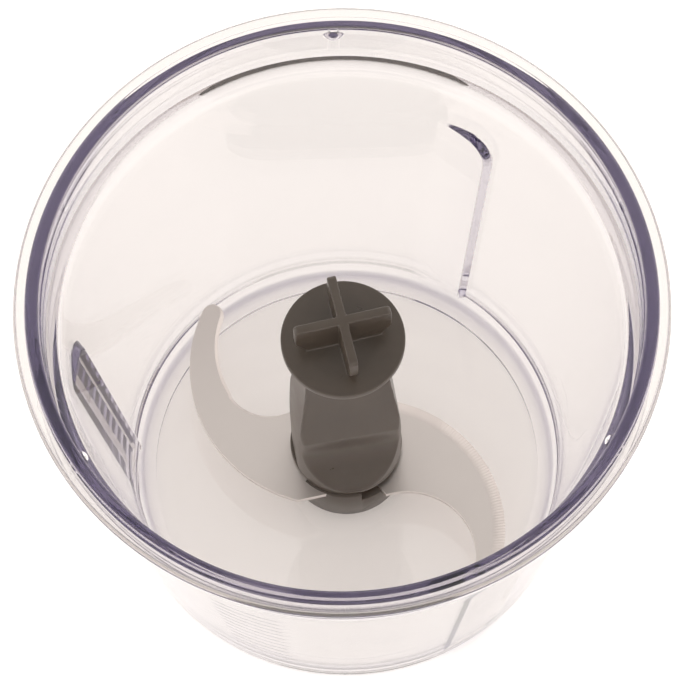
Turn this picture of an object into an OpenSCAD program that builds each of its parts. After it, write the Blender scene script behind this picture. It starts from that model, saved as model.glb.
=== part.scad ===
// Clear chopper bowl for an immersion blender, with its lift-out cutter.
// Millimetres. Origin at the bottom centre of the bowl's foot, +Z up, the spindle on the Z axis.

/* [Bowl] */
// Height of the bowl, foot to rim
bowl_h = 88.4; // [86:0.2:92]
// Radius of the flange around the rim
flange_r = 62.4; // [61.8:0.1:63.5]
// Outer radius that the wall's taper would reach under the flange
wall_top_r = 59.5; // [59:0.1:60]
// Outer radius of the wall where the foot's rounding starts
wall_foot_r = 45.8; // [45.4:0.1:46.2]
// Thickness of the wall, measured level
wall_t = 3.2; // [2.8:0.1:3.4]
// Inner radius of the neck that takes the lid, at the rim
neck_r = 57.5; // [57.2:0.1:57.7]
// Depth of the neck below the rim
neck_depth = 11.2; // [10.4:0.2:11.6]
// Height of the floor's top face
floor_z = 2.6; // [2.4:0.1:2.8]

/* [Bowl details] */
// Number of wedge-shaped ribs on the inner wall
rib_count = 3; // [3:1:4]
// Direction of the first rib's steep face, in degrees
rib_start = 54; // [50:0.5:60]
// How far each rib stands out at its top
rib_stand = 1.4; // [1.2:0.1:2]
// Height of the ribs' tops
rib_top = 63.6; // [58:0.2:66]
// Direction of the first bayonet nub, in degrees
nub_start = 90; // [80:1:100]
// Number of level marks moulded on the outside
mark_count = 12; // [8:1:14]

/* [Cutter] */
// Turn of the cutter about the spindle at rest, in degrees
hub_turn = 11.7; // [9:0.1:14]
// Outer radius of the lower collar
collar_r = 11.9; // [11.6:0.1:12.2]
// Outer radius of the column's base
column_r = 11.3; // [11:0.1:11.6]
// Radius of the drive disc
disc_r = 12.05; // [11.6:0.05:12.4]
// Height of the drive disc's top face
disc_z = 70.6; // [69:0.2:72]
// Height of the drive cross above the disc
cross_h = 9.4; // [8:0.2:10]
// Length of each arm of the cross, from the axis
cross_arm = 9.55; // [8.5:0.05:10]
// Thickness of the cross's arms
cross_t = 1.8; // [1.6:0.1:2.2]
// Thickness of the blades
blade_t = 1.2; // [1:0.1:1.3]

/* [Bearing] */
// Radius of the spindle pin
pin_r = 3; // [2.8:0.1:3.1]
// Height of the spindle pin's tip
pin_top = 33; // [31:0.5:33.5]
// Radial running clearance of the bush, inside and outside
run_gap = 0.05; // [0.03:0.01:0.08]

/* [Hidden] */
$fn = 96;
eps = 0.01;

// Bowl heights and radii
flange_top = bowl_h - 0.5;
flange_t = 1.8;
lip_r = 59.2;
lip_land = 0.9;
neck_floor = bowl_h - neck_depth;
neck_foot_r = neck_r - 0.6;
ledge = 0.15;
shoulder_z = neck_floor - 2.9;
neck_out = 59.8;
step_low = 70.5;
step_high = 77.5;
foot_round = 3.2;
foot_in = 39.2;
foot_h = 0.8;
floor_round = 1.8;
wall_slope = (wall_top_r - wall_foot_r) / (flange_top - flange_t - foot_round);
function outer_r(z) = wall_foot_r + wall_slope * (z - foot_round);
function inner_r(z) = outer_r(z) - wall_t;

// Boss, pin and bush
boss_r = 5.6;
boss_z = 5;
pin_root = 1.4;
bush_r = 4.6;
bush_flange_r = 7;
bush_flange_t = 1.5;
bush_top = 22;
seat_z = boss_z + bush_flange_t;
ring_in = 6.1;
ring_out = 8.2;

// Heights of the cutter's stack
collar_z = 4;
collar_top = 14;
pocket_z = 11;
pocket_r = 9.4;
base_t = 1.4;
disc_t = 1.8;
tongue = [11, 4, 7];
pad_t = 1.5;
peg_r = 1.3;
peg_at = 7;

// Column: half-widths across the front and across the side, each [height, half-width]
column_front = [[15, 10.9], [24, 10.7], [34, 10.2], [50, 8.6], [69, 8.2]];
column_side = [[15, 11.3], [17, 10.5], [19, 9.3], [22, 7.9], [26, 6.9], [30, 6.7],
               [34.4, 6.7], [50, 4.4], [69, 3.6]];
corner_in = 0.2;
corner_out = 2.9;

// Ribs, nubs and marks
rib_foot = 1.2;
rib_len = 11.5;
rib_shift = 6.4;
rib_skew = 7;
rib_round = 6.2;
nub_w = 3.6;
nub_hgt = 2.4;
nub_out = 1.3;
nub_z = bowl_h - 2.6;
mark_span = 14;
mark_out = 0.1;
mark_hgt = 0.5;
mark_first = 14;
mark_last = 58;
mark_dir = 248;

clear_plastic = [0.93, 0.91, 0.95, 0.35];
hub_grey = [0.42, 0.38, 0.34];
steel = [0.8, 0.78, 0.75];
bronze = [0.72, 0.55, 0.35];

function arc(c, r, from, to, n = 12) =
    [for (i = [0:n]) c + r * [cos(from + (to - from) * i / n), sin(from + (to - from) * i / n)]];

// A ring or disc of one radius, with an optional hole
module ring(r, low, high, hole = 0) {
    difference() {
        translate([0, 0, low]) cylinder(r = r, h = high - low);
        if (hole > 0) translate([0, 0, low - 1]) cylinder(r = hole, h = high - low + 2);
    }
}

// The outer skin of the bowl as a half section
function outer_line() = concat(
    [[0, foot_h], [foot_in, foot_h], [foot_in, 0]],
    arc([wall_foot_r - foot_round, foot_round], foot_round, -90, 0, 8),
    [[outer_r(step_low), step_low], [neck_out, step_high], [neck_out, flange_top - flange_t]],
    arc([flange_r - flange_t / 2, flange_top - flange_t / 2], flange_t / 2, -90, 90, 12),
    arc([lip_r, bowl_h - 1.3], 1.3, asin(0.8 / 1.3), 90, 8));

// The inner skin, from the rim down to the floor
function inner_line() = concat(
    [[lip_r - lip_land, bowl_h]],
    arc([neck_r + 0.7, bowl_h - 0.7], 0.7, 90, 180, 6),
    [[neck_foot_r, neck_floor], [neck_foot_r - ledge, neck_floor]],
    arc([inner_r(shoulder_z) + 2, shoulder_z], 2, 129, 180, 8),
    arc([inner_r(floor_z) - floor_round, floor_z + floor_round], floor_round, 0, -90, 6),
    [[boss_r + 1, floor_z], [boss_r, floor_z + 1], [boss_r, boss_z], [0, boss_z]]);

// Turns a side outline, drawn along the wall and upwards, into a slab that points outwards
module radial(direction, near, far) {
    rotate([0, 0, direction]) translate([near, 0, 0]) rotate([90, 0, 90])
        linear_extrude(far - near) children();
}

// Radius of the off-centre cone that cuts a rib's ramp, so that the rib stands out by its height at z
function ramp_r(z, stand) =
    norm([inner_r(z) - stand + rib_shift * sin(rib_skew), rib_shift * cos(rib_skew)]);

// One wedge rib: a steep face at its start, a ramp back to the wall, and a rounded top corner
module rib(direction) {
    outline = concat([[0, floor_z - 1]],
        arc([rib_round, rib_top - rib_round], rib_round, 180, 90, 10),
        [[rib_len, rib_top], [rib_len, floor_z - 1]]);
    intersection() {
        radial(direction, 36, 58) polygon(outline);
        difference() {
            rotate_extrude() polygon([[0, 1.5], [outer_r(1.5) - 1, 1.5], [outer_r(70) - 1, 70], [0, 70]]);
            rotate([0, 0, direction + 90 + rib_skew]) translate([rib_shift, 0, 1])
                cylinder(r1 = ramp_r(1, rib_foot), r2 = ramp_r(72, rib_stand), h = 71);
        }
    }
}

// A bayonet nub on the neck's inner wall, pointed at both ends
module nub(direction) {
    lens_r = (pow(nub_w / 2, 2) + pow(nub_hgt / 2, 2)) / nub_hgt;
    radial(direction, neck_r - nub_out, neck_r + 1) translate([0, nub_z]) intersection() {
        translate([0, lens_r - nub_hgt / 2]) circle(r = lens_r);
        translate([0, nub_hgt / 2 - lens_r]) circle(r = lens_r);
    }
}

// Level marks: short raised arcs on the outside of the wall
module marks() {
    for (i = [0:mark_count - 1]) {
        z = mark_first + (mark_last - mark_first) * i / (mark_count - 1);
        rotate([0, 0, mark_dir - mark_span / 2]) rotate_extrude(angle = mark_span)
            polygon([[outer_r(z) - 0.5, z], [outer_r(z) + mark_out, z],
                     [outer_r(z + mark_hgt) + mark_out, z + mark_hgt], [outer_r(z + mark_hgt) - 0.5, z + mark_hgt]]);
    }
}

module bowl() {
    color(clear_plastic) difference() {
        union() {
            rotate_extrude() polygon(concat(outer_line(), inner_line()));
            for (i = [0:rib_count - 1]) {
                rib(rib_start + 360 / rib_count * i);
                nub(nub_start + 360 / rib_count * i);
            }
            marks();
        }
        translate([0, 0, pin_root]) cylinder(r = pin_r, h = boss_z);
    }
}

module spindle_pin() {
    color(steel) rotate_extrude() polygon(concat(
        [[0, pin_root], [pin_r, pin_root]], arc([0, pin_top - 4], 5, acos(pin_r / 5), 90, 8)));
}

module bearing_bush() {
    color(bronze) difference() {
        union() {
            ring(bush_flange_r, boss_z, seat_z);
            ring(bush_r, boss_z, bush_top);
        }
        translate([0, 0, boss_z - 1]) cylinder(r = pin_r + run_gap, h = bush_top);
    }
}

module retaining_ring() {
    color(hub_grey) ring(ring_out, collar_z, boss_z - run_gap, ring_in);
}

// The two pegs of the collar that pass through the blades into the column
module pegs(r, low, high) {
    for (side = [-1, 1])
        rotate([0, 0, hub_turn]) translate([side * peg_at, 0, low]) cylinder(r = r, h = high - low, $fn = 32);
}

// The slots where the blades leave the collar, one on each side
module blade_slots() {
    translate([0, 0, pocket_z]) {
        linear_extrude(collar_top) polygon([[0, 0], [-30, -28], [-30, 20], [-9, 20]]);
        linear_extrude(collar_top) polygon([[0, 0], [5, -20], [30, -20], [30, 28], [8, 20]]);
    }
}

module lower_collar() {
    color(hub_grey) difference() {
        union() {
            difference() {
                ring(collar_r, collar_z, collar_top);
                translate([0, 0, pocket_z]) cylinder(r = pocket_r, h = collar_top);
                blade_slots();
            }
            pegs(peg_r, collar_z + 3, collar_top + 3);
        }
        translate([0, 0, collar_z - 1]) cylinder(r = bush_r + run_gap, h = collar_top);
        translate([0, 0, collar_z - 1]) cylinder(r = ring_out, h = seat_z - collar_z + 1);
    }
}

// Both blades: a hooked outline of arcs, joined to a round root that the collar's pegs hold
module blade(outline, low) {
    color(steel) difference() {
        union() {
            translate([0, 0, low]) linear_extrude(blade_t) polygon(outline);
            ring(pocket_r - run_gap, low, low + blade_t);
        }
        translate([0, 0, low - 1]) cylinder(r = bush_r + 0.4, h = blade_t + 2);
        pegs(peg_r, low - 1, low + blade_t + 1);
    }
}

upper_line = concat([[0, 0], [-4, -11]],
    arc([-1.2, 16.8], 30.3, 253, 154, 24),
    arc([-26.46, 29.1], 2.2, 154, -20.5, 10),
    arc([-5.6, 21.3], 20, 159.6, 210.7, 14),
    arc([-15.2, 15.6], 9.1, 210.7, 300, 14));

lower_line = concat([[0, 0], [3.5, 11]],
    arc([3.2, -17.9], 28.4, 75, -25, 24),
    arc([26.9, -29], 2.2, -25, -197.4, 10),
    arc([11.6, -24.2], 13.9, -17.4, 106, 24));

module upper_blade() { blade(upper_line, collar_top - blade_t); }

module lower_blade() { blade(lower_line, pocket_z); }

module blade_spacer() {
    color(hub_grey) difference() {
        ring(pocket_r - run_gap, pocket_z + blade_t, collar_top - blade_t, bush_r + 0.4);
        pegs(peg_r, pocket_z, collar_top);
    }
}

module thrust_pad() {
    color(bronze) ring(pin_r + 0.4, pin_top + 1.1, pin_top + 1.1 + pad_t);
}

// Draws a half outline given as [height, half-width] points as a full, upright one
module upright(points) {
    n = len(points) - 1;
    polygon(concat([for (p = points) [p[1], p[0]]], [for (i = [n:-1:0]) [-points[i][1], points[i][0]]]));
}

module hub_column() {
    body_low = collar_top + base_t;
    body_top = disc_z - disc_t;
    color(hub_grey) difference() {
        union() {
            ring(column_r, collar_top, body_low);
            rotate([0, 0, hub_turn - 3]) intersection() {
                translate([0, 20, 0]) rotate([90, 0, 0]) linear_extrude(40) upright(column_front);
                translate([-20, 0, 0]) rotate([90, 0, 90]) linear_extrude(40) upright(column_side);
                translate([0, 0, body_low - eps])
                    cylinder(r1 = column_r - corner_in, r2 = column_r + corner_out, h = body_top - body_low + eps);
            }
        }
        translate([0, 0, collar_top - 1]) cylinder(r = bush_r + run_gap, h = bush_top + 1.2 - collar_top);
        translate([0, 0, collar_top]) cylinder(r = pin_r + 0.4, h = pin_top + 1.1 + pad_t - collar_top);
        pegs(peg_r, collar_top - 1, collar_top + 3);
        rotate([0, 0, hub_turn - 3]) translate([-tongue[0] / 2, -tongue[1] / 2, body_top - tongue[2]])
            cube([tongue[0], tongue[1], tongue[2] + 1]);
    }
}

// One arm pair of the cross, longer at its top than at the disc
module cross_pair() {
    foot = cross_arm - 2.2;
    outline = concat([[-foot, -eps], [foot, -eps]],
        arc([cross_arm - 3, 4.5], 3, -40, 0, 5),
        arc([cross_arm - 1, cross_h - 1], 1, 0, 90, 4),
        arc([1 - cross_arm, cross_h - 1], 1, 90, 180, 4),
        arc([3 - cross_arm, 4.5], 3, 180, 220, 5));
    translate([0, cross_t / 2, disc_z]) rotate([90, 0, 0]) linear_extrude(cross_t) polygon(outline);
}

module drive_disc() {
    color(hub_grey) {
        ring(disc_r, disc_z - disc_t, disc_z);
        rotate([0, 0, hub_turn]) {
            cross_pair();
            rotate([0, 0, 90]) cross_pair();
        }
        rotate([0, 0, hub_turn - 3]) translate([-tongue[0] / 2, -tongue[1] / 2, disc_z - disc_t - tongue[2]])
            cube([tongue[0], tongue[1], tongue[2] + eps]);
    }
}

bowl();
spindle_pin();
bearing_bush();
retaining_ring();
lower_collar();
lower_blade();
blade_spacer();
upper_blade();
thrust_pad();
hub_column();
drive_disc();
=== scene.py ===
"""Looks of a clear chopper bowl with its lift-out cutter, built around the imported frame."""

import logging
import math
from dataclasses import dataclass, field
from enum import Enum
from typing import Callable, Sequence

import bmesh
import bpy
from mathutils import Matrix, Vector


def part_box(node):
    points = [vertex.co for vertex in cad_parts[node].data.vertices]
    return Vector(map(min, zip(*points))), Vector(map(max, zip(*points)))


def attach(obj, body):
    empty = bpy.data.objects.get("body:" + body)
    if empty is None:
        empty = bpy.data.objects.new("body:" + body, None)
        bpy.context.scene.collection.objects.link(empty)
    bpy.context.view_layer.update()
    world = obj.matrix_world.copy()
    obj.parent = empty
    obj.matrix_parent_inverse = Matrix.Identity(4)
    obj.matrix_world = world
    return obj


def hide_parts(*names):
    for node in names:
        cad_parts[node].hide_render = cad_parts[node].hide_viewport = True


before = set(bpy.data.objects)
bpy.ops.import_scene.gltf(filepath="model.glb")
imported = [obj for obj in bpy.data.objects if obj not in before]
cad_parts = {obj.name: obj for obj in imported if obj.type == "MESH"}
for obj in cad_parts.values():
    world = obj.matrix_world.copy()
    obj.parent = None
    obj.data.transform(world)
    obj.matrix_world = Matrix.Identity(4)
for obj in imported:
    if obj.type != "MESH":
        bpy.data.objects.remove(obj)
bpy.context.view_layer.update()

LOG = logging.getLogger("chopper_bowl")
MM = 0.001
Point = tuple[float, float]
Colour = tuple[float, float, float, float]


class Body(Enum):
    """The rigid bodies of the frame that pieces ride on."""

    BASE = "base"
    BEARING = "bearing"
    CUTTER = "cutter"


class Slot(Enum):
    """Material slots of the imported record."""

    CLEAR = "clear_bowl"
    HUB = "hub_plastic"
    BLADE = "blade_steel"
    PIN = "spindle_steel"
    BUSH = "bush_bronze"


# ----------------------------------------------------------------------------------------------
# Mesh tools
# ----------------------------------------------------------------------------------------------


def arc(centre: Point, radius: float, start: float, end: float, steps: int = 12) -> list[Point]:
    """Points along a circular arc.

    Args:
        centre: Centre of the arc.
        radius: Radius of the arc.
        start: First angle, in degrees.
        end: Last angle, in degrees.
        steps: Number of chords.

    Returns:
        The points, from the first angle to the last.
    """
    points = []
    for i in range(steps + 1):
        angle = math.radians(start + (end - start) * i / steps)
        points.append((centre[0] + radius * math.cos(angle), centre[1] + radius * math.sin(angle)))
    return points


def levels(first: Point, last: Point, steps: int) -> list[Point]:
    """Evenly spaced points on a straight line, both ends included.

    Args:
        first: Start of the line.
        last: End of the line.
        steps: Number of equal stretches.

    Returns:
        The points along the line.
    """
    return [
        (first[0] + (last[0] - first[0]) * i / steps, first[1] + (last[1] - first[1]) * i / steps)
        for i in range(steps + 1)
    ]


def blend(low: float, high: float, value: float) -> float:
    """Smooth step of value from 0 at low to 1 at high."""
    t = min(1.0, max(0.0, (value - low) / (high - low)))
    return t * t * (3 - 2 * t)


def smooth_min(a: float, b: float, width: float) -> float:
    """The smaller of two lengths, with the corner between them rounded over a width."""
    h = max(width - abs(a - b), 0.0) / width
    return min(a, b) - h * h * width / 4


def spin_outline(outline: Sequence[Point], steps: int) -> bmesh.types.BMesh:
    """Spins a half section, given as radius and height in millimetres, about the Z axis.

    Args:
        outline: The half section, both ends on the axis for a closed solid.
        steps: Number of columns around the axis.

    Returns:
        A closed mesh in metres with normals outwards.
    """
    bm = bmesh.new()
    verts = [bm.verts.new((r * MM, 0, z * MM)) for r, z in outline]
    edges = [bm.edges.new(pair) for pair in zip(verts[:-1], verts[1:])]
    bmesh.ops.spin(
        bm, geom=verts + edges, cent=(0, 0, 0), axis=(0, 0, 1), dvec=(0, 0, 0),
        angle=math.tau, steps=steps, use_merge=True, use_duplicate=False,
    )
    bmesh.ops.remove_doubles(bm, verts=bm.verts, dist=1e-7)
    bmesh.ops.recalc_face_normals(bm, faces=bm.faces)
    return bm


def turn(bm: bmesh.types.BMesh, degrees: float) -> None:
    """Turns a mesh about the Z axis."""
    rotation = Matrix.Rotation(math.radians(degrees), 3, "Z")
    bmesh.ops.rotate(bm, cent=(0, 0, 0), matrix=rotation, verts=bm.verts)


def make_object(name: str, bm: bmesh.types.BMesh, sharp: float = 32.0) -> bpy.types.Object:
    """Turns a bmesh into a smooth-shaded object at the origin.

    Args:
        name: Name of the object and of its mesh.
        bm: The finished bmesh, which is freed.
        sharp: Edges that fold by more than this many degrees stay crisp.

    Returns:
        The new object, linked to the scene.
    """
    mesh = bpy.data.meshes.new(name)
    bm.to_mesh(mesh)
    bm.free()
    mesh.shade_smooth()
    mesh.set_sharp_from_angle(angle=math.radians(sharp))
    obj = bpy.data.objects.new(name, mesh)
    bpy.context.scene.collection.objects.link(obj)
    return obj


def bake_modifiers(obj: bpy.types.Object, sharp: float = 32.0) -> None:
    """Applies an object's modifiers to its mesh.

    Args:
        obj: The object to finish.
        sharp: Edges that fold by more than this many degrees stay crisp.
    """
    bpy.context.view_layer.update()
    evaluated = obj.evaluated_get(bpy.context.evaluated_depsgraph_get())
    mesh = bpy.data.meshes.new_from_object(evaluated)
    obj.modifiers.clear()
    obj.data = mesh
    mesh.shade_smooth()
    mesh.set_sharp_from_angle(angle=math.radians(sharp))


def round_edges(obj: bpy.types.Object, width_mm: float, segments: int = 3, angle: float = 34.0) -> None:
    """Adds a bevel to every edge that folds by more than an angle, and applies it.

    Args:
        obj: The object to round.
        width_mm: Width of the bevel.
        segments: Rows of faces across the bevel.
        angle: Smallest fold that is rounded, in degrees.
    """
    bevel = obj.modifiers.new("rounded", "BEVEL")
    bevel.width = width_mm * MM
    bevel.segments = segments
    bevel.limit_method = "ANGLE"
    bevel.angle_limit = math.radians(angle)
    bevel.harden_normals = False
    bake_modifiers(obj)


def copy_node(node: str, name: str) -> bpy.types.Object:
    """A merged copy of a CAD node's mesh, free to be finished as a piece.

    Args:
        node: Name of the CAD node.
        name: Name of the new piece.

    Returns:
        The new object.
    """
    bm = bmesh.new()
    bm.from_mesh(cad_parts[node].data)
    bmesh.ops.remove_doubles(bm, verts=bm.verts, dist=2e-6)
    bmesh.ops.dissolve_limit(bm, angle_limit=math.radians(1.0), verts=bm.verts, edges=bm.edges)
    return make_object(name, bm)


def place(obj: bpy.types.Object, material: bpy.types.Material, body: Body, slot: Slot, *nodes: str) -> None:
    """Dresses a piece, ties it to its body and hides the CAD nodes that it stands for.

    Args:
        obj: The piece.
        material: Its material.
        body: The body that it rides on.
        slot: Its slot in the record; not used.
        nodes: CAD nodes that it replaces.
    """
    obj.data.materials.clear()
    obj.data.materials.append(material)
    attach(obj, body.value)
    if nodes:
        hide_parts(*nodes)
    LOG.info("piece %s: %d faces on %s", obj.name, len(obj.data.polygons), body.value)


# ----------------------------------------------------------------------------------------------
# Shader tools and shared node groups
# ----------------------------------------------------------------------------------------------


class Shader:
    """A thin wrapper that adds and links nodes in one node tree."""

    def __init__(self, tree: bpy.types.NodeTree) -> None:
        """Starts from an empty tree."""
        self.tree = tree
        tree.nodes.clear()

    def add(self, kind: str, inputs: dict[str, object] | None = None, **settings: object) -> bpy.types.Node:
        """Adds a node.

        Args:
            kind: The node's type name.
            inputs: Input socket values by socket name, or sockets to link from.
            settings: Properties of the node.

        Returns:
            The new node.
        """
        node = self.tree.nodes.new(kind)
        for key, value in settings.items():
            setattr(node, key, value)
        for key, value in (inputs or {}).items():
            if isinstance(value, bpy.types.NodeSocket):
                self.tree.links.new(value, node.inputs[key])
            else:
                node.inputs[key].default_value = value
        return node

    def math(self, operation: str, first: object, second: object = 0.0) -> bpy.types.NodeSocket:
        """Adds a math node of two operands and returns its output."""
        node = self.tree.nodes.new("ShaderNodeMath")
        node.operation = operation
        for index, value in enumerate((first, second)):
            if isinstance(value, bpy.types.NodeSocket):
                self.tree.links.new(value, node.inputs[index])
            else:
                node.inputs[index].default_value = value
        return node.outputs[0]

    def link(self, source: bpy.types.NodeSocket, target: bpy.types.NodeSocket) -> None:
        """Links two sockets."""
        self.tree.links.new(source, target)


@dataclass(frozen=True)
class GroupSocket:
    """One named input of a shared node group."""

    name: str
    default: float
    low: float = 0.0
    high: float = 1000.0


def build_group(name: str, inputs: Sequence[GroupSocket], outputs: Sequence[str],
                wire: Callable[[Shader, dict], dict]) -> bpy.types.NodeTree:
    """Builds a shared node group with named float sockets.

    Args:
        name: Name of the group.
        inputs: Its inputs, besides the Vector input that every group has.
        outputs: Names of its float outputs.
        wire: Adds the nodes; takes the shader and the input sockets, and returns the output sockets.

    Returns:
        The node group.
    """
    tree = bpy.data.node_groups.new(name, "ShaderNodeTree")
    tree.interface.new_socket("Vector", in_out="INPUT", socket_type="NodeSocketVector")
    for spec in inputs:
        socket = tree.interface.new_socket(spec.name, in_out="INPUT", socket_type="NodeSocketFloat")
        socket.default_value = spec.default
        socket.min_value = spec.low
        socket.max_value = spec.high
    for output in outputs:
        tree.interface.new_socket(output, in_out="OUTPUT", socket_type="NodeSocketFloat")
    shader = Shader(tree)
    entry = shader.add("NodeGroupInput")
    results = wire(shader, {socket.name: socket for socket in entry.outputs if socket.name})
    leave = shader.add("NodeGroupOutput")
    for output, socket in results.items():
        shader.link(socket, leave.inputs[output])
    return tree


def wire_mottle(shader: Shader, sockets: dict) -> dict:
    """Soft cloudy variation: a coarse and a fine noise added together.

    Args:
        shader: The group's shader.
        sockets: The group's input sockets.

    Returns:
        The Mask output.
    """
    coarse = shader.add("ShaderNodeTexNoise",
                        {"Vector": sockets["Vector"], "Scale": sockets["Scale"], "Detail": 3.0})
    fine_scale = shader.math("MULTIPLY", sockets["Scale"], 6.3)
    fine = shader.add("ShaderNodeTexNoise", {"Vector": sockets["Vector"], "Scale": fine_scale, "Detail": 4.0})
    mixed = shader.math("ADD", shader.math("MULTIPLY", coarse.outputs["Fac"], 0.65),
                        shader.math("MULTIPLY", fine.outputs["Fac"], 0.35))
    centred = shader.math("SUBTRACT", mixed, 0.5)
    swing = shader.math("MULTIPLY", centred, sockets["Contrast"])
    mask = shader.add("ShaderNodeClamp", {"Value": shader.math("ADD", swing, 0.5)})
    return {"Mask": mask.outputs["Result"]}


def wire_scratches(shader: Shader, sockets: dict) -> dict:
    """Sparse hairlines: thin level sets of a stretched, warped noise, broken up by a second noise.

    Args:
        shader: The group's shader.
        sockets: The group's input sockets.

    Returns:
        The Mask output, 1 on a hairline.
    """
    warp = shader.add("ShaderNodeTexNoise", {"Vector": sockets["Vector"], "Scale": 9.0, "Detail": 1.0})
    bent = shader.add("ShaderNodeMix", {"Factor": 0.04, "A": sockets["Vector"], "B": warp.outputs["Color"]},
                      data_type="VECTOR")
    lines = shader.add("ShaderNodeTexNoise",
                       {"Vector": bent.outputs[1], "Scale": sockets["Scale"], "Detail": 0.0})
    away = shader.math("ABSOLUTE", shader.math("SUBTRACT", lines.outputs["Fac"], 0.5))
    thin = shader.add("ShaderNodeMapRange",
                      {"Value": away, "From Min": 0.0, "From Max": sockets["Width"],
                       "To Min": 1.0, "To Max": 0.0})
    patches = shader.add("ShaderNodeTexNoise", {"Vector": sockets["Vector"], "Scale": 34.0, "Detail": 2.0})
    where = shader.add("ShaderNodeMapRange",
                       {"Value": patches.outputs["Fac"], "From Min": 0.56, "From Max": 0.66})
    return {"Mask": shader.math("MULTIPLY", thin.outputs["Result"], where.outputs["Result"])}


def wire_grain(shader: Shader, sockets: dict) -> dict:
    """Fine moulded grain: a small cellular pattern softened by noise.

    Args:
        shader: The group's shader.
        sockets: The group's input sockets.

    Returns:
        The Height output.
    """
    noise = shader.add("ShaderNodeTexNoise",
                       {"Vector": sockets["Vector"], "Scale": sockets["Scale"], "Detail": 5.0,
                        "Roughness": 0.62})
    cells = shader.add("ShaderNodeTexVoronoi", {"Vector": sockets["Vector"], "Scale": sockets["Scale"]},
                       feature="SMOOTH_F1")
    return {"Height": shader.math("ADD", shader.math("MULTIPLY", noise.outputs["Fac"], 0.7),
                                  shader.math("MULTIPLY", cells.outputs["Distance"], 0.3))}


def wire_brushed(shader: Shader, sockets: dict) -> dict:
    """Long fine lines along X, from a noise squeezed across them.

    Args:
        shader: The group's shader.
        sockets: The group's input sockets.

    Returns:
        The Height output and a Mask of the broader streaks.
    """
    squeeze = shader.add("ShaderNodeVectorMath",
                         {0: sockets["Vector"], 1: (0.03, 1.0, 1.0)}, operation="MULTIPLY")
    fine = shader.add("ShaderNodeTexNoise",
                      {"Vector": squeeze.outputs[0], "Scale": sockets["Scale"], "Detail": 4.0,
                       "Roughness": 0.7})
    broad = shader.add("ShaderNodeTexNoise",
                       {"Vector": squeeze.outputs[0],
                        "Scale": shader.math("MULTIPLY", sockets["Scale"], 0.12), "Detail": 2.0})
    return {"Height": fine.outputs["Fac"], "Mask": broad.outputs["Fac"]}


@dataclass(frozen=True)
class SharedGroups:
    """The node groups that more than one finish uses."""

    mottle: bpy.types.NodeTree
    scratches: bpy.types.NodeTree
    grain: bpy.types.NodeTree
    brushed: bpy.types.NodeTree

    @staticmethod
    def build() -> "SharedGroups":
        """Builds each group once."""
        scale = GroupSocket("Scale", 100.0, 0.0, 100000.0)
        return SharedGroups(
            mottle=build_group("Mottle", [scale, GroupSocket("Contrast", 1.0)], ["Mask"], wire_mottle),
            scratches=build_group("Hairlines", [scale, GroupSocket("Width", 0.01)], ["Mask"], wire_scratches),
            grain=build_group("Moulded grain", [scale], ["Height"], wire_grain),
            brushed=build_group("Brushed lines", [scale], ["Height", "Mask"], wire_brushed),
        )


# ----------------------------------------------------------------------------------------------
# Finishes
# ----------------------------------------------------------------------------------------------


def new_material(name: str) -> tuple[bpy.types.Material, Shader, bpy.types.Node]:
    """Starts a material with a Principled shader.

    Args:
        name: Name of the material.

    Returns:
        The material, its shader wrapper and its Principled node.
    """
    material = bpy.data.materials.new(name)
    material.use_nodes = True
    shader = Shader(material.node_tree)
    surface = shader.add("ShaderNodeBsdfPrincipled")
    output = shader.add("ShaderNodeOutputMaterial")
    shader.link(surface.outputs[0], output.inputs["Surface"])
    return material, shader, surface


def group_node(shader: Shader, tree: bpy.types.NodeTree, **values: float) -> bpy.types.Node:
    """Places a shared group in a material, reading Object coordinates.

    Args:
        shader: The material's shader.
        tree: The group.
        values: The group's inputs by name.

    Returns:
        The group's node.
    """
    coords = shader.add("ShaderNodeTexCoord")
    node = shader.add("ShaderNodeGroup", node_tree=tree)
    shader.link(coords.outputs["Object"], node.inputs["Vector"])
    for key, value in values.items():
        node.inputs[key].default_value = value
    return node


def mix_colours(shader: Shader, mask: bpy.types.NodeSocket, low: Colour,
                high: Colour) -> bpy.types.NodeSocket:
    """Mixes two colours by a mask.

    Args:
        shader: The material's node tree.
        mask: The mask that chooses between the colours.
        low: The colour where the mask is 0.
        high: The colour where the mask is 1.

    Returns:
        The socket of the mixed colour.
    """
    node = shader.add("ShaderNodeMix", {"Factor": mask}, data_type="RGBA")
    node.inputs[6].default_value = low
    node.inputs[7].default_value = high
    return node.outputs[2]


def spread(shader: Shader, value: bpy.types.NodeSocket, low: float, high: float) -> bpy.types.NodeSocket:
    """Maps a mask from 0 and 1 to a low and a high value and returns the result's socket."""
    node = shader.add("ShaderNodeMapRange", {"Value": value, "To Min": low, "To Max": high})
    return node.outputs["Result"]


def darker(colour: Colour, share: float) -> Colour:
    """A colour scaled to a share of its brightness, still opaque."""
    return tuple(channel * share for channel in colour[:3]) + (1.0,)


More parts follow.
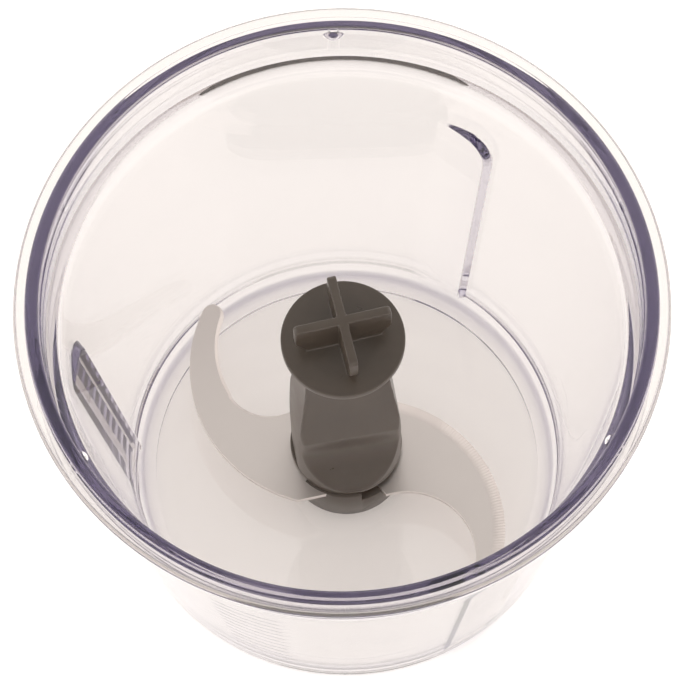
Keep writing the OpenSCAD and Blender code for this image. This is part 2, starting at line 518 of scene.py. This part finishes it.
@dataclass(frozen=True)
class ClearPlastic:
    """Polished clear plastic with a faint cool tint in its depth."""

    groups: SharedGroups
    ior: float = 1.57
    density: float = 34.0
    tint: Colour = (0.50, 0.46, 0.62, 1.0)
    skin: Colour = (0.88, 0.865, 0.845, 1.0)
    roughness: float = 0.012

    def build(self) -> bpy.types.Material:
        """Makes the material: a smooth dielectric whose hairlines are a little rough."""
        material, shader, surface = new_material("clear_plastic")
        surface.inputs["Base Color"].default_value = self.skin
        surface.inputs["IOR"].default_value = self.ior
        surface.inputs["Transmission Weight"].default_value = 1.0
        lines = group_node(shader, self.groups.scratches, Scale=55.0, Width=0.0035)
        clouds = group_node(shader, self.groups.mottle, Scale=30.0, Contrast=1.2)
        haze = spread(shader, clouds.outputs["Mask"], self.roughness * 0.6, self.roughness * 1.6)
        worn = shader.math("MAXIMUM", haze, shader.math("MULTIPLY", lines.outputs["Mask"], 0.2))
        shader.link(worn, surface.inputs["Roughness"])
        bump = shader.add("ShaderNodeBump", {"Height": lines.outputs["Mask"], "Strength": 0.25,
                                             "Distance": 0.00002}, invert=True)
        shader.link(bump.outputs[0], surface.inputs["Normal"])
        volume = shader.add("ShaderNodeVolumeAbsorption", {"Color": self.tint, "Density": self.density})
        output = next(n for n in shader.tree.nodes if n.type == "OUTPUT_MATERIAL")
        shader.link(volume.outputs[0], output.inputs["Volume"])
        return material


@dataclass(frozen=True)
class HubPlastic:
    """Satin moulded plastic in a dark taupe."""

    groups: SharedGroups
    dark: Colour = (0.046, 0.034, 0.025, 1.0)
    light: Colour = (0.066, 0.051, 0.039, 1.0)
    roughness: float = 0.3

    def build(self) -> bpy.types.Material:
        """Makes the material: mottled colour, uneven gloss, fine grain and a few hairlines."""
        material, shader, surface = new_material("hub_plastic")
        clouds = group_node(shader, self.groups.mottle, Scale=70.0, Contrast=1.8)
        colour = mix_colours(shader, clouds.outputs["Mask"], self.dark, self.light)
        shader.link(colour, surface.inputs["Base Color"])
        gloss = spread(shader, clouds.outputs["Mask"], self.roughness - 0.05, self.roughness + 0.06)
        lines = group_node(shader, self.groups.scratches, Scale=90.0, Width=0.004)
        worn = shader.math("SUBTRACT", gloss, shader.math("MULTIPLY", lines.outputs["Mask"], 0.1))
        shader.link(worn, surface.inputs["Roughness"])
        grain = group_node(shader, self.groups.grain, Scale=1900.0)
        bump = shader.add("ShaderNodeBump", {"Height": grain.outputs["Height"], "Strength": 0.12,
                                             "Distance": 0.00004})
        shader.link(bump.outputs[0], surface.inputs["Normal"])
        surface.inputs["IOR"].default_value = 1.5
        return material


@dataclass(frozen=True)
class Steel:
    """Stainless steel with fine lines, satin on the blades and brighter on the pin."""

    groups: SharedGroups
    name: str
    colour: Colour = (0.69, 0.645, 0.62, 1.0)
    roughness: float = 0.3
    line_scale: float = 5200.0

    def build(self) -> bpy.types.Material:
        """Makes the material: metal with streaked gloss, a fine line bump and hairlines."""
        material, shader, surface = new_material(self.name)
        surface.inputs["Metallic"].default_value = 1.0
        lines = group_node(shader, self.groups.brushed, Scale=self.line_scale)
        clouds = group_node(shader, self.groups.mottle, Scale=45.0, Contrast=1.5)
        tone = mix_colours(shader, clouds.outputs["Mask"], darker(self.colour, 0.95), self.colour)
        shader.link(tone, surface.inputs["Base Color"])
        streaks = spread(shader, lines.outputs["Mask"], self.roughness - 0.015, self.roughness + 0.015)
        hair = group_node(shader, self.groups.scratches, Scale=120.0, Width=0.004)
        rough = shader.math("ADD", streaks, shader.math("MULTIPLY", hair.outputs["Mask"], 0.12))
        shader.link(rough, surface.inputs["Roughness"])
        bump = shader.add("ShaderNodeBump", {"Height": lines.outputs["Height"], "Strength": 0.05,
                                             "Distance": 0.00001})
        shader.link(bump.outputs[0], surface.inputs["Normal"])
        return material


@dataclass(frozen=True)
class Bronze:
    """Plain turned bearing bronze."""

    groups: SharedGroups
    colour: Colour = (0.52, 0.33, 0.17, 1.0)

    def build(self) -> bpy.types.Material:
        """Makes the material: metal with mottled tone and gloss."""
        material, shader, surface = new_material("turned_bronze")
        surface.inputs["Metallic"].default_value = 1.0
        clouds = group_node(shader, self.groups.mottle, Scale=160.0, Contrast=1.6)
        tone = mix_colours(shader, clouds.outputs["Mask"], darker(self.colour, 0.8), self.colour)
        shader.link(tone, surface.inputs["Base Color"])
        shader.link(spread(shader, clouds.outputs["Mask"], 0.3, 0.42), surface.inputs["Roughness"])
        grain = group_node(shader, self.groups.grain, Scale=2600.0)
        bump = shader.add("ShaderNodeBump", {"Height": grain.outputs["Height"], "Strength": 0.1,
                                             "Distance": 0.00003})
        shader.link(bump.outputs[0], surface.inputs["Normal"])
        return material


@dataclass(frozen=True)
class PaleFloor:
    """The studio floor: matt, nearly white, very slightly clouded."""

    groups: SharedGroups

    def build(self) -> bpy.types.Material:
        """Makes the material."""
        material, shader, surface = new_material("pale_floor")
        clouds = group_node(shader, self.groups.mottle, Scale=6.0, Contrast=1.0)
        tone = mix_colours(shader, clouds.outputs["Mask"], (0.93, 0.93, 0.93, 1.0), (0.95, 0.95, 0.95, 1.0))
        shader.link(tone, surface.inputs["Base Color"])
        surface.inputs["Roughness"].default_value = 0.8
        surface.inputs["Emission Color"].default_value = (1.0, 0.955, 0.915, 1.0)
        surface.inputs["Emission Strength"].default_value = 0.25
        return material


@dataclass(frozen=True)
class Finishes:
    """Every material of the object."""

    clear: bpy.types.Material
    hub: bpy.types.Material
    blade: bpy.types.Material
    pin: bpy.types.Material
    bronze: bpy.types.Material
    floor: bpy.types.Material

    @staticmethod
    def build() -> "Finishes":
        """Builds the shared groups and each finish."""
        groups = SharedGroups.build()
        return Finishes(
            clear=ClearPlastic(groups).build(),
            hub=HubPlastic(groups).build(),
            blade=Steel(groups, "satin_steel").build(),
            pin=Steel(groups, "ground_steel", roughness=0.2, line_scale=9000.0).build(),
            bronze=Bronze(groups).build(),
            floor=PaleFloor(groups).build(),
        )


# ----------------------------------------------------------------------------------------------
# The bowl
# ----------------------------------------------------------------------------------------------


@dataclass(frozen=True)
class Rib:
    """One wedge rib's form on the inner wall (mm and degrees)."""

    start: float = 53.5
    face_turn: float = 1.6
    length: float = 12.4
    top: float = 63.6
    corner: float = 6.2
    stand_foot: float = 1.15
    stand_top: float = 1.4
    face_slope: float = 0.95
    softness: float = 0.3

    def stand(self, z: float) -> float:
        """How far the rib stands out at a height."""
        return self.stand_foot + (self.stand_top - self.stand_foot) * z / self.top

    def below_top(self, along: float, z: float) -> float:
        """Distance below the rib's top edge, round its corner."""
        if along < self.corner and z > self.top - self.corner:
            return self.corner - math.hypot(self.corner - along, z - self.top + self.corner)
        return self.top - z

    def rise(self, away: float, z: float, radius: float) -> float:
        """How far the rib stands out of the wall at one place.

        Args:
            away: Angle past the rib's steep side, in degrees.
            z: Height.
            radius: Radius of the wall there.

        Returns:
            The rise, 0 beside the rib.
        """
        along = math.radians(away) * radius
        if away < 0 or along > self.length or z > self.top:
            return 0.0
        full = self.stand(z)
        ramp = full * min(1.0, (self.length - along) / (self.length - 1.4))
        face = full * away / self.face_turn
        top = self.below_top(along, z) * self.face_slope
        return max(0.0, smooth_min(smooth_min(face, ramp, self.softness), top, self.softness))


@dataclass(frozen=True)
class Nub:
    """One bayonet nub on the neck (mm and degrees)."""

    start: float = 90.0
    half_width: float = 1.8
    half_height: float = 1.2
    out: float = 1.2
    drop: float = 2.6

    def rise(self, away: float, below_rim: float, radius: float) -> float:
        """How far the nub stands out of the neck at one place.

        Args:
            away: Angle from the nub's middle, in degrees.
            below_rim: Depth below the rim.
            radius: Radius of the neck.

        Returns:
            The rise, 0 beside the nub.
        """
        across = math.radians(away) * radius / self.half_width
        up = (below_rim - self.drop) / self.half_height
        return self.out * max(0.0, 1.0 - across * across - up * up)


@dataclass(frozen=True)
class Marks:
    """The level marks: short raised arcs on the outside (mm and degrees)."""

    count: int = 12
    first: float = 14.0
    last: float = 58.0
    direction: float = 248.0
    half_span: float = 7.0
    out: float = 0.05
    height: float = 0.5

    def heights(self) -> list[float]:
        """Heights of the marks' lower edges."""
        return [self.first + (self.last - self.first) * i / (self.count - 1) for i in range(self.count)]

    def rise(self, angle: float, z: float) -> float:
        """How far a mark stands out of the wall at one place."""
        if abs(angle - self.direction) > self.half_span:
            return 0.0
        return self.out if any(low + 0.04 < z < low + self.height - 0.04 for low in self.heights()) else 0.0


@dataclass
class Bowl:
    """The clear bowl as one closed skin: wall, rim, floor, ribs, nubs and level marks (mm)."""

    finish: bpy.types.Material
    rib: Rib = field(default_factory=Rib)
    nub: Nub = field(default_factory=Nub)
    marks: Marks = field(default_factory=Marks)
    repeats: int = 3
    height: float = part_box("bowl")[1][2] / MM
    flange_r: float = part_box("bowl")[1][0] / MM
    flange_t: float = 1.8
    flange_drop: float = 0.5
    wall_top_r: float = 59.5
    wall_foot_r: float = 45.8
    wall_t: float = 3.2
    neck_r: float = 57.5
    neck_foot_r: float = 56.9
    neck_depth: float = 11.2
    neck_out: float = 59.8
    step_low: float = 70.0
    step_high: float = 78.0
    ledge: float = 0.15
    shoulder_drop: float = 2.9
    shoulder_round: float = 2.0
    shoulder_turn: float = 129.0
    lip_r: float = 59.2
    lip_land: float = 0.9
    floor_z: float = 2.6
    foot_round: float = 3.2
    foot_in: float = 39.2
    foot_h: float = 0.8
    floor_round: float = 1.8
    boss_r: float = 5.6
    boss_z: float = 5.0

    @property
    def neck_floor(self) -> float:
        """Height of the neck's lower edge."""
        return self.height - self.neck_depth

    @property
    def shoulder_z(self) -> float:
        """Height where the shoulder meets the tapered wall."""
        return self.neck_floor - self.shoulder_drop

    def outer_r(self, z: float) -> float:
        """Radius of the outer wall at a height."""
        rise = self.height - self.flange_drop - self.flange_t - self.foot_round
        return self.wall_foot_r + (self.wall_top_r - self.wall_foot_r) / rise * (z - self.foot_round)

    def inner_r(self, z: float) -> float:
        """Radius of the inner wall at a height, between the ribs."""
        return self.outer_r(z) - self.wall_t

    def neck_at(self, z: float) -> float:
        """Radius of the neck's inner wall at a height; it narrows a little downwards."""
        return self.neck_foot_r + (self.neck_r - self.neck_foot_r) * (z - self.neck_floor) / self.neck_depth

    def step_point(self, fraction: float) -> Point:
        """A point on the outside's widening under the rim, from its foot at 0 to its top at 1."""
        z = self.step_low + (self.step_high - self.step_low) * fraction
        wall = self.outer_r(z)
        return (wall + (self.neck_out - wall) * min(1.0, max(0.0, 1.16 * fraction - 0.08)), z)

    def on_wall(self, first: float, last: float, steps: int, wall: Callable[[float], float]) -> list[Point]:
        """Evenly spaced points of a wall's section between two heights."""
        return levels((wall(first), first), (wall(last), last), steps)

    def outer_outline(self) -> list[Point]:
        """Half section of the outside, from the axis under the floor up to the top of the lip."""
        flange_top = self.height - self.flange_drop
        rows = [(0.0, self.foot_h), (self.foot_in, self.foot_h), (self.foot_in, 0.0)]
        rows += arc((self.wall_foot_r - self.foot_round, self.foot_round), self.foot_round, -90, 0, 9)
        for z in self.marks.heights():
            guard = (self.outer_r(z - 0.1), z - 0.1)
            top = z + self.marks.height
            rows += [guard] + self.on_wall(z, top, 2, self.outer_r) + [(self.outer_r(top + 0.1), top + 0.1)]
        rows.append((self.outer_r(66), 66.0))
        rows += [self.step_point(i / 12) for i in range(13)]
        rows.append((self.neck_out, flange_top - self.flange_t))
        rows += arc((self.flange_r - self.flange_t / 2, flange_top - self.flange_t / 2), self.flange_t / 2,
                    -90, 90, 12)
        rows += arc((self.lip_r, self.height - 1.3), 1.3, 38, 90, 7)
        return rows

    def inner_outline(self) -> list[Point]:
        """Half section of the inside, from the lip down to the boss on the axis."""
        low = self.floor_z + self.floor_round
        shoulder = self.inner_r(self.shoulder_z)
        nub_z = self.height - self.nub.drop
        rows = [(self.lip_r - self.lip_land, self.height)]
        rows += arc((self.neck_at(self.height - 0.7) + 0.7, self.height - 0.7), 0.7, 90, 180, 7)
        rows += self.on_wall(nub_z + 1.2, nub_z - 1.2, 14, self.neck_at)
        rows += [(self.neck_foot_r, self.neck_floor), (self.neck_foot_r - self.ledge, self.neck_floor)]
        rows += arc((shoulder + self.shoulder_round, self.shoulder_z), self.shoulder_round,
                    self.shoulder_turn, 180, 10)
        rows += self.on_wall(72, self.rib.top + 1, 3, self.inner_r)
        rows += self.on_wall(self.rib.top, 54.0, 20, self.inner_r)
        rows += self.on_wall(52.0, low + 1, 14, self.inner_r)
        rows += arc((self.inner_r(self.floor_z) - self.floor_round, low), self.floor_round, 0, -90, 9)
        rows += [(self.boss_r + 1, self.floor_z), (self.boss_r, self.floor_z + 1), (self.boss_r, self.boss_z)]
        rows.append((0.0, self.boss_z))
        return rows

    def column_angles(self) -> list[float]:
        """Angles of the columns in one repeat, close together at the rib and the nub."""
        start, nub = self.rib.start, self.nub.start
        crest = start + self.rib.face_turn
        end = start + math.degrees(self.rib.length / self.inner_r(40)) + 1.5
        stretches = [
            (start - 1.0, start, 3), (start, crest, 8), (crest, crest + 0.6, 4), (crest + 0.6, end, 34),
            (end, nub - 2.4, 18), (nub - 2.4, nub + 2.4, 18), (nub + 2.4, start - 1.0 + 120.0, 72),
        ]
        angles: list[float] = []
        for first, last, count in stretches:
            angles += [first + (last - first) * i / count for i in range(count)]
        return angles

    def build(self) -> bpy.types.Object:
        """Spins the section, moves its vertices on to the ribs, nubs and marks, and dresses it."""
        sector = self.column_angles()
        columns = len(sector) * self.repeats
        bm = spin_outline(self.outer_outline() + self.inner_outline(), columns)
        for vert in bm.verts:
            r = math.hypot(vert.co.x, vert.co.y) / MM
            z = vert.co.z / MM
            if r < 0.01:
                continue
            bearing = math.degrees(math.atan2(vert.co.y, vert.co.x)) % 360.0
            index = round(bearing * columns / 360.0) % columns
            turn_no, place_no = divmod(index, len(sector))
            angle = sector[place_no]
            on_ribbed_wall = self.floor_z + self.floor_round - 0.01 < z < self.rib.top + 1.01
            if on_ribbed_wall and abs(r - self.inner_r(z)) < 0.05:
                r -= self.rib.rise(angle - self.rib.start, z, self.inner_r(z))
            elif abs(r - self.neck_at(z)) < 0.01 and z > self.neck_floor + 1.0:
                r -= self.nub.rise(angle - self.nub.start, self.height - z, self.neck_r)
            full = (angle + 120.0 * turn_no) % 360.0
            if abs(r - self.outer_r(z)) < 0.05:
                r += self.marks.rise(full, z)
            theta = math.radians(full)
            vert.co = Vector((r * math.cos(theta), r * math.sin(theta), z)) * MM
        bmesh.ops.recalc_face_normals(bm, faces=bm.faces)
        piece = make_object("clear_bowl", bm, 40.0)
        place(piece, self.finish, Body.BASE, Slot.CLEAR, "bowl")
        return piece


# ----------------------------------------------------------------------------------------------
# The hub
# ----------------------------------------------------------------------------------------------


@dataclass
class Hub:
    """The cutter's grey plastic: column, drive disc with its cross, and lower collar (mm)."""

    finish: bpy.types.Material
    turn_deg: float = 11.7
    column_lag: float = 3.0
    column_r: float = 11.3
    column_low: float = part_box("hub_column")[0][2] / MM
    base_t: float = 1.4
    disc_t: float = 1.8
    disc_z: float = 70.6
    crease_z: float = 34.4
    crease_half: float = 6.7
    hollow: float = 0.9
    scoop_depth: float = 5.5
    scoop_reach: float = 5.4
    neck_half: float = 8.2
    belly: float = 2.5
    columns: int = 256

    def column_radius(self, z: float) -> float:
        """Radius that the column's corners reach at a height."""
        return self.column_r + (z - 15.4) / 53.4

    def half_front(self, z: float) -> float:
        """Half-width of the column seen from the front."""
        return self.neck_half + self.belly * blend(60.0, 26.0, z) ** 0.8

    def half_side(self, z: float) -> float:
        """Half-width of the column seen from the side: flat faces, a crease, and a scoop above the base."""
        face = 3.6 + (self.crease_half - 3.6) * max(0.0, 1.0 - (z - self.crease_z) / 30.0) ** 1.15
        scoop = self.scoop_depth * math.exp(-(((z - 15.4) / self.scoop_reach) ** 1.25))
        if z >= self.crease_z:
            return face
        return self.crease_half - self.hollow * blend(self.crease_z, 26.0, z) + scoop

    def build_column(self) -> bpy.types.Object:
        """The column: a round base under a flattened body with a scooped front and back."""
        low = self.column_low
        body_low = low + self.base_t
        top = self.disc_z - self.disc_t
        edge = 0.25
        outline = [(0.0, low), (self.column_r - edge, low)]
        outline += arc((self.column_r - edge, low + edge), edge, -90, 0, 4)
        outline += arc((self.column_r - edge, body_low - edge), edge, 0, 90, 4)
        outline += levels((10.9, body_low), (10.9, self.crease_z + 2.0), 64)
        outline += levels((10.9, self.crease_z + 3.0), (10.9, top), 24)
        outline.append((0.0, top))
        bm = spin_outline(outline, self.columns)
        for vert in bm.verts:
            z = vert.co.z / MM
            r = math.hypot(vert.co.x, vert.co.y) / MM
            if z < body_low - 0.001 or r < 10.0 or r > 10.95:
                continue
            along_x, along_y = abs(vert.co.x) / MM / r, abs(vert.co.y) / MM / r
            limit = self.column_radius(z)
            if along_x > 0.02:
                limit = smooth_min(limit, self.half_front(z) / along_x, 0.5)
            if along_y > 0.02:
                limit = smooth_min(limit, self.half_side(z) / along_y, 0.6)
            vert.co.x *= limit / r
            vert.co.y *= limit / r
        turn(bm, self.turn_deg - self.column_lag)
        piece = make_object("hub_body", bm, 38.0)
        place(piece, self.finish, Body.CUTTER, Slot.HUB, "hub_column")
        return piece

    def build_disc(self) -> bpy.types.Object:
        """The drive disc and cross, with every edge rounded."""
        piece = copy_node("drive_disc", "drive_coupling")
        round_edges(piece, 0.32, 3)
        place(piece, self.finish, Body.CUTTER, Slot.HUB, "drive_disc")
        return piece

    def build_collar(self) -> bpy.types.Object:
        """The lower collar with its blade slots, with rounded edges."""
        piece = copy_node("lower_collar", "blade_collar")
        round_edges(piece, 0.22, 2)
        place(piece, self.finish, Body.CUTTER, Slot.HUB, "lower_collar")
        return piece

    def build(self) -> None:
        """Builds all of the hub."""
        self.build_column()
        self.build_disc()
        self.build_collar()


# ----------------------------------------------------------------------------------------------
# The blades
# ----------------------------------------------------------------------------------------------


class Ground(Enum):
    """Which edge of a blade is ground."""

    OUTER = "outer"
    INNER = "inner"


@dataclass(frozen=True)
class BladeForm:
    """The edges of one blade from its root to its tip, and how it is ground (mm)."""

    name: str
    node: str
    outer: tuple[Point, ...]
    inner: tuple[Point, ...]
    ground: Ground
    bevel: float
    edge_t: float
    pitch: float
    steps: int


def along_line(points: Sequence[Point], fraction: float) -> Point:
    """The point at a fraction of a line's length."""
    spans = [math.dist(a, b) for a, b in zip(points[:-1], points[1:])]
    goal = fraction * sum(spans)
    for (start, end), span in zip(zip(points[:-1], points[1:]), spans):
        if goal <= span:
            t = goal / span if span else 0.0
            return (start[0] + (end[0] - start[0]) * t, start[1] + (end[1] - start[1]) * t)
        goal -= span
    return points[-1]


@dataclass
class Blades:
    """The smooth upper blade and the serrated lower blade (mm)."""

    finish: bpy.types.Material
    root_r: float = 9.35
    hole_r: float = 5.0
    edge_break: float = 0.06
    tooth: float = 0.2
    teeth_from: float = 16.0
    teeth_full: float = 20.0

    def forms(self) -> list[BladeForm]:
        """The two blades' edges."""
        upper_outer = [(-4.0, -11.0)] + arc((-1.2, 16.8), 30.3, 253, 154, 60)
        upper_outer += arc((-26.46, 29.1), 2.2, 154, 66.75, 12)[1:]
        upper_inner = [(0.0, 0.0)] + arc((-15.2, 15.6), 9.1, 300, 210.7, 30)
        upper_inner += arc((-5.6, 21.3), 20.0, 210.7, 159.6, 30)[1:]
        upper_inner += arc((-26.46, 29.1), 2.2, -20.5, 66.75, 12)[1:]
        lower_outer = [(3.5, 11.0)] + arc((3.2, -17.9), 28.4, 75, -25, 60)
        lower_outer += arc((26.9, -29.0), 2.2, -25, -111.2, 12)[1:]
        lower_inner = [(0.0, 0.0)] + arc((11.6, -24.2), 13.9, 106, -17.4, 50)
        lower_inner += arc((26.9, -29.0), 2.2, -197.4, -111.2, 12)[1:]
        return [
            BladeForm("smooth_blade", "upper_blade", tuple(upper_outer), tuple(upper_inner),
                      Ground.INNER, 0.7, 0.45, 0.0, 150),
            BladeForm("serrated_blade", "lower_blade", tuple(lower_outer), tuple(lower_inner),
                      Ground.OUTER, 2.5, 0.35, 0.62, 480),
        ]

    def row_distances(self, form: BladeForm) -> list[tuple[float, float]]:
        """Rows of vertices across a blade.

        Args:
            form: The blade.

        Returns:
            For each row from the outer edge to the inner, its distance from the outer edge and from
            the inner edge; the one that is 0 or more places the row, and both are below 0 at the middle.
        """
        plain = [0.0, self.edge_break]
        ground = [0.0, 0.08, form.bevel * 0.5, form.bevel, form.bevel + 0.1]
        outer = ground if form.ground is Ground.OUTER else plain
        inner = ground if form.ground is Ground.INNER else plain
        rows = [(d, -1.0) for d in outer] + [(-1.0, -1.0)]
        return rows + [(-1.0, d) for d in reversed(inner)]

    def drop(self, form: BladeForm, from_outer: float, from_inner: float, along: float,
             thickness: float) -> float:
        """How far the top face lies below flat at one place.

        Args:
            form: The blade.
            from_outer: Distance from the outer edge.
            from_inner: Distance from the inner edge.
            along: Distance from the root along the outer edge.
            thickness: The blade's thickness.

        Returns:
            The drop in millimetres.
        """
        ground, plain = from_outer, from_inner
        if form.ground is Ground.INNER:
            ground, plain = from_inner, from_outer
        fall = 0.0
        if ground < form.bevel:
            fall = (thickness - form.edge_t) * (1.0 - ground / form.bevel)
            if form.pitch and along > self.teeth_from:
                wave = abs((along / form.pitch) % 1.0 - 0.5) * 2.0
                fade = blend(self.teeth_from, self.teeth_full, along)
                fall += self.tooth * wave * (1.0 - ground / form.bevel) * fade
        if plain < self.edge_break:
            fall = max(fall, self.edge_break - plain)
        return fall

    def build_blade(self, form: BladeForm) -> bpy.types.Object:
        """Maps a grid between a blade's two edges, thickens it, grinds it and joins it to its root.

        Args:
            form: The blade.

        Returns:
            The finished piece.
        """
        low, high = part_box(form.node)[0][2] / MM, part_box(form.node)[1][2] / MM - 0.03
        rows = self.row_distances(form)
        bm = bmesh.new()
        bmesh.ops.create_grid(bm, x_segments=form.steps, y_segments=len(rows) - 1, size=0.5)
        solid = bmesh.ops.extrude_face_region(bm, geom=list(bm.faces))
        under = {item for item in solid["geom"] if isinstance(item, bmesh.types.BMVert)}
        outer_length = sum(math.dist(a, b) for a, b in zip(form.outer[:-1], form.outer[1:]))
        for vert in list(bm.verts):
            u = vert.co.x + 0.5
            row = round((vert.co.y + 0.5) * (len(rows) - 1))
            start, end = along_line(form.outer, u), along_line(form.inner, u)
            width = math.dist(start, end)
            from_outer, from_inner = rows[row]
            if from_outer >= 0:
                t = min(from_outer / width, 0.45) if width > 1e-6 else 0.0
            elif from_inner >= 0:
                t = 1.0 - min(from_inner / width, 0.45) if width > 1e-6 else 1.0
            else:
                t = 0.5
            z = low
            if vert not in under:
                z = high - self.drop(form, width * t, width * (1.0 - t), u * outer_length, high - low)
            vert.co = Vector((start[0] + (end[0] - start[0]) * t, start[1] + (end[1] - start[1]) * t, z)) * MM
        bmesh.ops.remove_doubles(bm, verts=bm.verts, dist=1e-7)
        bmesh.ops.dissolve_degenerate(bm, edges=bm.edges, dist=1e-7)
        bmesh.ops.recalc_face_normals(bm, faces=bm.faces)
        piece = make_object(form.name, bm, 24.0)
        root = self.build_root(form, low, high)
        union = piece.modifiers.new("root", "BOOLEAN")
        union.operation = "UNION"
        union.solver = "EXACT"
        union.object = root
        bake_modifiers(piece, 24.0)
        bpy.data.objects.remove(root)
        place(piece, self.finish, Body.CUTTER, Slot.BLADE, form.node)
        return piece

    def build_root(self, form: BladeForm, low: float, high: float) -> bpy.types.Object:
        """The round root of a blade, with its hole.

        Args:
            form: The blade.
            low: Height of its underside.
            high: Height of its top.

        Returns:
            A plain ring to be joined to the blade.
        """
        section = [(self.hole_r, low), (self.root_r, low), (self.root_r, high), (self.hole_r, high)]
        bm = spin_outline(section + section[:1], 96)
        return make_object(form.name + "_root", bm)

    def build(self) -> None:
        """Builds both blades."""
        for form in self.forms():
            self.build_blade(form)


# ----------------------------------------------------------------------------------------------
# Hidden bearing pieces
# ----------------------------------------------------------------------------------------------


def dress_hidden(finishes: Finishes) -> None:
    """Gives the CAD nodes that stay in place their materials.

    Args:
        finishes: Every material of the object.
    """
    dressed = {
        "spindle_pin": finishes.pin,
        "bearing_bush": finishes.bronze,
        "thrust_pad": finishes.bronze,
        "retaining_ring": finishes.hub,
        "blade_spacer": finishes.hub,
    }
    for node, material in dressed.items():
        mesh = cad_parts[node].data
        mesh.materials.clear()
        mesh.materials.append(material)
        LOG.info("node %s dressed in %s", node, material.name)


# ----------------------------------------------------------------------------------------------
# Studio
# ----------------------------------------------------------------------------------------------


@dataclass(frozen=True)
class Studio:
    """Pale floor, soft white surroundings and the camera."""

    floor_finish: bpy.types.Material
    lens: float = 264.7
    sensor: float = 36.0
    distance: float = 0.9451
    elevation: float = 68.05
    roll: float = -1.79
    target: tuple[float, float, float] = (-0.000577, -0.006958, 0.087)

    def add_camera(self) -> None:
        """Adds the camera, tilted down at the bowl and rolled slightly."""
        elevation, roll = math.radians(self.elevation), math.radians(self.roll)
        back = Vector((0, -math.cos(elevation), math.sin(elevation)))
        right, up = Vector((1, 0, 0)), Vector((0, math.sin(elevation), math.cos(elevation)))
        cam_right = right * math.cos(roll) + up * math.sin(roll)
        cam_up = up * math.cos(roll) - right * math.sin(roll)
        camera = bpy.data.cameras.new("camera")
        camera.lens = self.lens
        camera.sensor_width = self.sensor
        camera.clip_start = 0.01
        camera.clip_end = 20.0
        obj = bpy.data.objects.new("camera", camera)
        turned = Matrix((cam_right, cam_up, back)).transposed().to_4x4()
        obj.matrix_world = Matrix.Translation(Vector(self.target) + back * self.distance) @ turned
        bpy.context.scene.collection.objects.link(obj)
        bpy.context.scene.camera = obj

    def add_floor(self) -> None:
        """Adds a wide plain floor under the bowl."""
        bm = bmesh.new()
        bmesh.ops.create_grid(bm, x_segments=2, y_segments=2, size=4.0)
        bmesh.ops.translate(bm, verts=bm.verts, vec=(0, 0, -0.0001))
        floor = make_object("floor", bm)
        floor.data.materials.append(self.floor_finish)

    def add_world(self) -> None:
        """Adds even white surroundings, a little dimmer overhead than at the sides."""
        world = bpy.data.worlds.new("studio")
        bpy.context.scene.world = world
        world.use_nodes = True
        shader = Shader(world.node_tree)
        coords = shader.add("ShaderNodeTexCoord")
        parts = shader.add("ShaderNodeSeparateXYZ", {0: coords.outputs["Generated"]})
        fall = shader.add("ShaderNodeMapRange",
                          {"Value": parts.outputs["Z"], "From Min": 0.3, "From Max": 1.0,
                           "To Min": 1.58, "To Max": 0.78})
        light = shader.add("ShaderNodeBackground", {"Color": (1.0, 0.955, 0.915, 1.0)})
        shader.link(fall.outputs["Result"], light.inputs["Strength"])
        output = shader.add("ShaderNodeOutputWorld")
        shader.link(light.outputs[0], output.inputs[0])

    def build(self) -> None:
        """Builds the whole stage."""
        self.add_camera()
        self.add_floor()
        self.add_world()
        bpy.context.scene.view_settings.view_transform = "Standard"
        self.set_light_paths()

    def set_light_paths(self) -> None:
        """Lets light pass many times through the clear wall before it is given up."""
        cycles = bpy.context.scene.cycles
        cycles.max_bounces = 64
        cycles.transmission_bounces = 64
        cycles.glossy_bounces = 64
        cycles.diffuse_bounces = 8
        cycles.blur_glossy = 0.0


def main() -> None:
    """Builds the stage, the bowl and the cutter in order."""
    logging.basicConfig(level=logging.INFO, format="%(name)s: %(message)s")
    finishes = Finishes.build()
    Studio(finishes.floor).build()
    Bowl(finishes.clear).build()
    Hub(finishes.hub).build()
    Blades(finishes.blade).build()
    dress_hidden(finishes)


if __name__ == "__main__":
    main()
